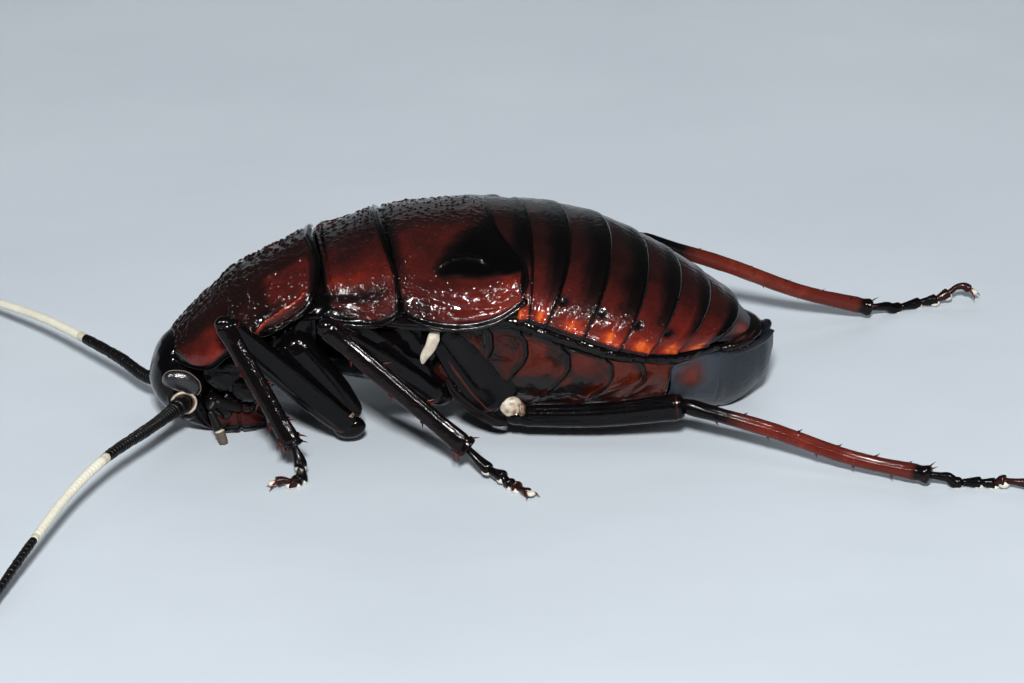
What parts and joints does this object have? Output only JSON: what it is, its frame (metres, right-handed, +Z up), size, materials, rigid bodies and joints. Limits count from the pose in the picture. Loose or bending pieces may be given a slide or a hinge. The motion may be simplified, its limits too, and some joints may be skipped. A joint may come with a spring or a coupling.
{
  "type": "hovens cockroach model",
  "caption": "Life-size still model of a wingless hovens cockroach, with long banded feelers, domed back plates and spread legs.",
  "frame": {"origin": "bottom centre of the bounding box, on the floor under the body", "axes": "+X towards the tail, -X towards the head, -Y the animal's left side, +Z up"},
  "size_m": [0.0739, 0.0693, 0.0145],
  "materials": {
    "black_cuticle": "deep gloss, black with a brown cast",
    "mahogany_cuticle": "deep gloss, dark red-brown",
    "red_cuticle": "gloss, red with darker hind edges",
    "redbrown_leg": "satin gloss, red-brown",
    "cream_band": "satin, cream white",
    "eye": "gloss, black, finely faceted"
  },
  "bodies": {
    "root": {"antenna_band_left": "cream_band", "antenna_band_right": "cream_band", "antenna_base_left": "black_cuticle", "antenna_base_right": "black_cuticle", "antenna_tip_left": "black_cuticle", "antenna_tip_right": "black_cuticle", "cercus_left": "black_cuticle", "cercus_right": "black_cuticle", "coxa_front_left": "black_cuticle", "coxa_front_right": "black_cuticle", "coxa_hind_left": "black_cuticle", "coxa_hind_right": "black_cuticle", "coxa_mid_left": "black_cuticle", "coxa_mid_right": "black_cuticle", "eye_left": "eye", "eye_right": "eye", "femur_front_left": "black_cuticle", "femur_front_right": "black_cuticle", "femur_hind_left": "black_cuticle", "femur_hind_right": "black_cuticle", "femur_mid_left": "black_cuticle", "femur_mid_right": "black_cuticle", "head": "black_cuticle", "mesonotum": "mahogany_cuticle", "metanotum": "mahogany_cuticle", "mouthparts": "mahogany_cuticle", "palp_left": "black_cuticle", "palp_right": "black_cuticle", "pronotum": "mahogany_cuticle", "prothorax": "black_cuticle", "pterothorax": "black_cuticle", "sternite_2": "mahogany_cuticle", "sternite_3": "red_cuticle", "sternite_4": "red_cuticle", "sternite_5": "red_cuticle", "sternite_6": "red_cuticle", "subgenital_plate": "black_cuticle", "supra_anal_plate": "black_cuticle", "tarsus_front_left": "black_cuticle", "tarsus_front_right": "black_cuticle", "tarsus_hind_left": "black_cuticle", "tarsus_hind_right": "black_cuticle", "tarsus_mid_left": "black_cuticle", "tarsus_mid_right": "black_cuticle", "tergite_1": "mahogany_cuticle", "tergite_2": "mahogany_cuticle", "tergite_3": "red_cuticle", "tergite_4": "red_cuticle", "tergite_5": "red_cuticle", "tergite_6": "red_cuticle", "tergite_7": "red_cuticle", "tibia_front_left": "black_cuticle", "tibia_front_right": "black_cuticle", "tibia_hind_left": "redbrown_leg", "tibia_hind_right": "redbrown_leg", "tibia_mid_left": "black_cuticle", "tibia_mid_right": "black_cuticle"}
  },
  "joints": []
}
